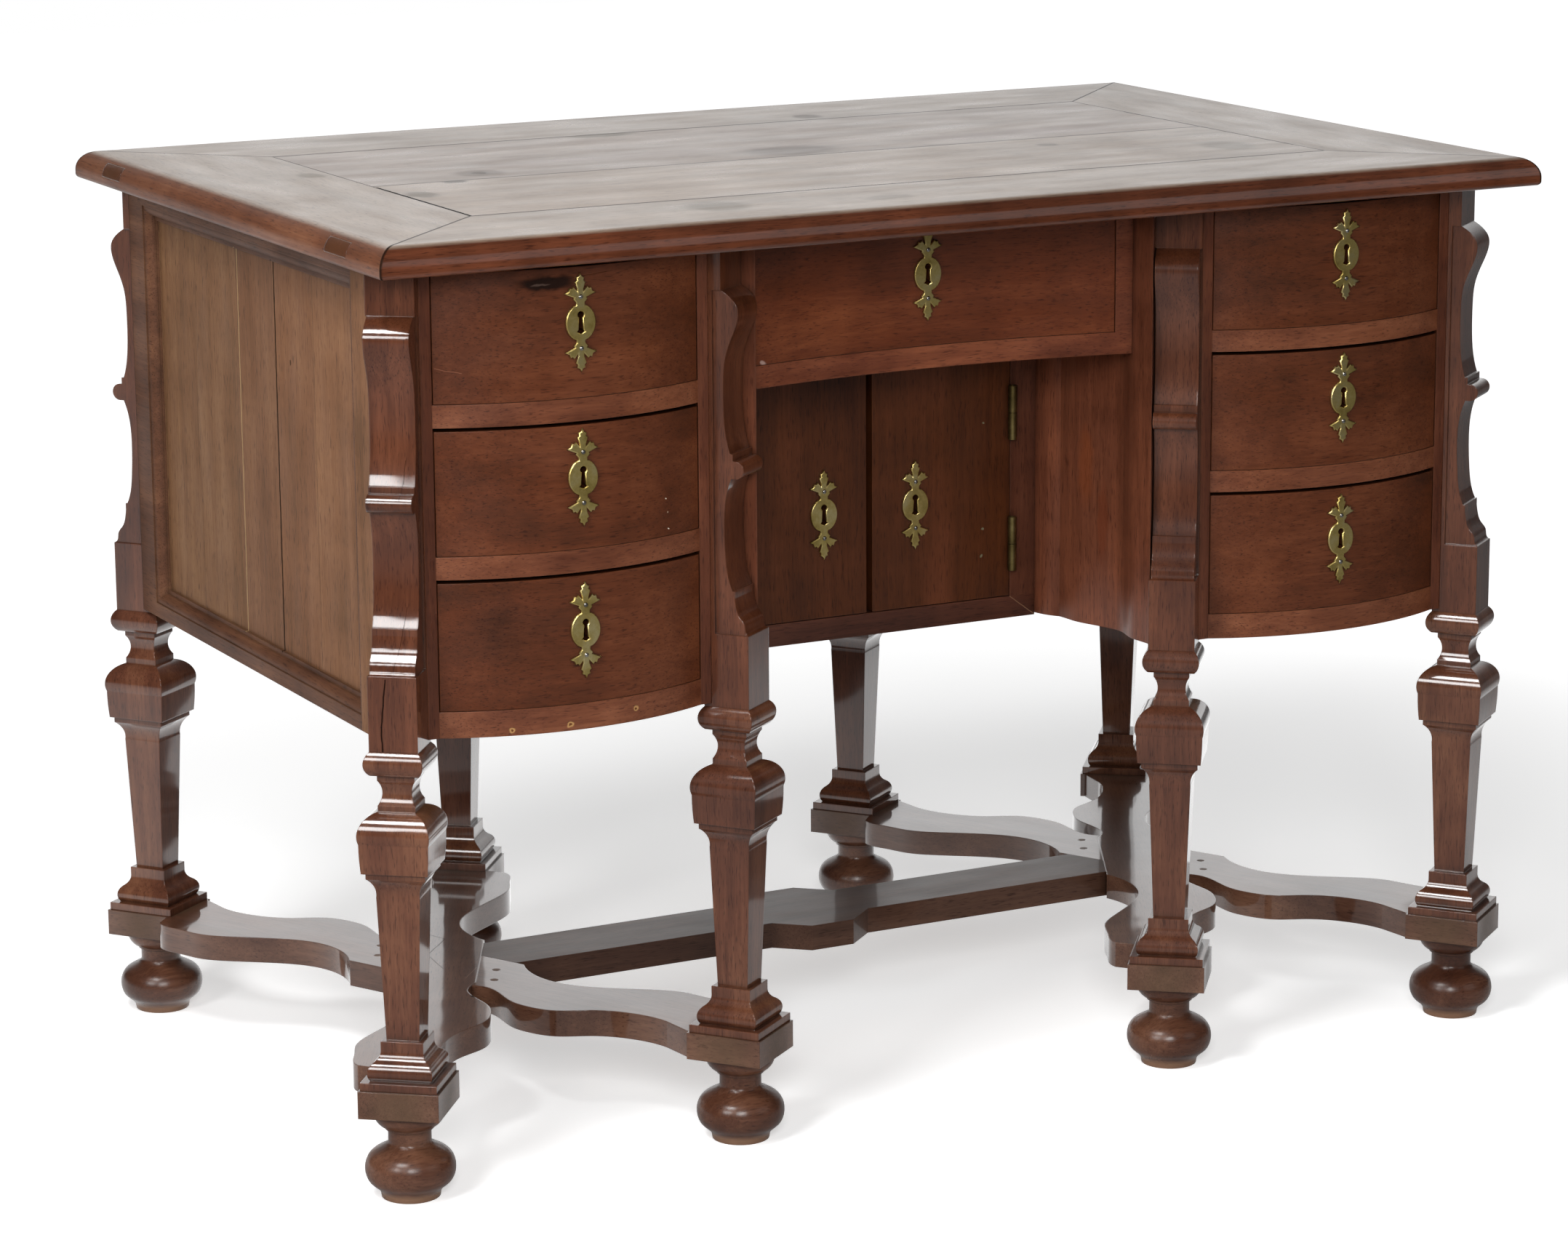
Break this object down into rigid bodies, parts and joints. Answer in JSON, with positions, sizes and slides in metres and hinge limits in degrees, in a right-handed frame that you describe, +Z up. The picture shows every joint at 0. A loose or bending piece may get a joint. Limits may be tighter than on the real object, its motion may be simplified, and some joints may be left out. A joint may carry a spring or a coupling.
{
  "type": "kneehole desk",
  "caption": "Kneehole writing desk of the bureau Mazarin form: bowed pedestals of drawers, a recessed cupboard, turned-out square tapered legs, serpentine stretchers and bun feet.",
  "frame": {"origin": "floor level under the middle of the desk", "axes": "+Z up, +X to the right of a person facing the front, the front faces -Y"},
  "size_m": [1.1422, 0.714, 0.8],
  "materials": {
    "polished_wood": "polished mahogany-coloured fruitwood, reddish brown",
    "top_wood": "waxed and sun-faded reddish brown wood",
    "side_wood": "faded waxed wood",
    "case_wood": "plain unpolished wood",
    "brass": "aged brass"
  },
  "bodies": {
    "desk": {"back_left_inner_leg": "polished_wood", "back_left_inner_post": "polished_wood", "back_left_outer_leg": "polished_wood", "back_left_outer_post": "polished_wood", "back_left_stretcher_arm": "polished_wood", "back_panels": "case_wood", "back_right_inner_leg": "polished_wood", "back_right_inner_post": "polished_wood", "back_right_outer_leg": "polished_wood", "back_right_outer_post": "polished_wood", "back_right_stretcher_arm": "polished_wood", "bottom_boards": "case_wood", "bun_feet": "polished_wood", "centre_drawer_frame": "case_wood", "cross_stretcher": "polished_wood", "cupboard_frame": "polished_wood", "drawer_runners": "case_wood", "fixed_hinge_halves": "brass", "front_left_inner_leg": "polished_wood", "front_left_inner_post": "polished_wood", "front_left_outer_leg": "polished_wood", "front_left_outer_post": "polished_wood", "front_left_stretcher_arm": "polished_wood", "front_right_inner_leg": "polished_wood", "front_right_inner_post": "polished_wood", "front_right_outer_leg": "polished_wood", "front_right_outer_post": "polished_wood", "front_right_stretcher_arm": "polished_wood", "left_kneehole_wall": "polished_wood", "left_long_stretcher": "polished_wood", "left_pedestal_front_frame": "polished_wood", "left_side_panel": "side_wood", "right_kneehole_wall": "polished_wood", "right_long_stretcher": "polished_wood", "right_pedestal_front_frame": "polished_wood", "right_side_panel": "side_wood", "stretcher_pegs": "polished_wood", "top_back_rail": "top_wood", "top_field_boards": "top_wood", "top_front_rail": "top_wood", "top_left_rail": "top_wood", "top_right_rail": "top_wood"},
    "left_bottom_drawer_body": {"left_bottom_drawer": "polished_wood", "left_bottom_drawer_escutcheon": "brass"},
    "left_middle_drawer_body": {"left_middle_drawer": "polished_wood", "left_middle_drawer_escutcheon": "brass"},
    "left_top_drawer_body": {"left_top_drawer": "polished_wood", "left_top_drawer_escutcheon": "brass"},
    "right_bottom_drawer_body": {"right_bottom_drawer": "polished_wood", "right_bottom_drawer_escutcheon": "brass"},
    "right_middle_drawer_body": {"right_middle_drawer": "polished_wood", "right_middle_drawer_escutcheon": "brass"},
    "right_top_drawer_body": {"right_top_drawer": "polished_wood", "right_top_drawer_escutcheon": "brass"},
    "centre_drawer_body": {"centre_drawer": "polished_wood", "centre_drawer_escutcheon": "brass"},
    "left_door_body": {"left_door": "polished_wood", "left_door_escutcheon": "brass"},
    "right_door_body": {"right_door": "polished_wood", "right_door_escutcheon": "brass"}
  },
  "joints": [
    {"name": "left_bottom_drawer_slide", "type": "slide", "parent": "desk", "child": "left_bottom_drawer_body", "axis": [0, -1, 0], "range_m": [0, 0.36]},
    {"name": "left_middle_drawer_slide", "type": "slide", "parent": "desk", "child": "left_middle_drawer_body", "axis": [0, -1, 0], "range_m": [0, 0.36]},
    {"name": "left_top_drawer_slide", "type": "slide", "parent": "desk", "child": "left_top_drawer_body", "axis": [0, -1, 0], "range_m": [0, 0.36]},
    {"name": "right_bottom_drawer_slide", "type": "slide", "parent": "desk", "child": "right_bottom_drawer_body", "axis": [0, -1, 0], "range_m": [0, 0.36]},
    {"name": "right_middle_drawer_slide", "type": "slide", "parent": "desk", "child": "right_middle_drawer_body", "axis": [0, -1, 0], "range_m": [0, 0.36]},
    {"name": "right_top_drawer_slide", "type": "slide", "parent": "desk", "child": "right_top_drawer_body", "axis": [0, -1, 0], "range_m": [0, 0.36]},
    {"name": "centre_drawer_slide", "type": "slide", "parent": "desk", "child": "centre_drawer_body", "axis": [0, -1, 0], "range_m": [0, 0.25]},
    {"name": "right_door_hinge", "type": "hinge", "parent": "desk", "child": "right_door_body", "pos_m": [0.144, -0.1364, 0.5], "axis": [0, 0, 1], "range_deg": [0, 100]},
    {"name": "left_door_hinge", "type": "hinge", "parent": "desk", "child": "left_door_body", "pos_m": [-0.144, -0.1364, 0.5], "axis": [0, 0, -1], "range_deg": [0, 100]}
  ]
}
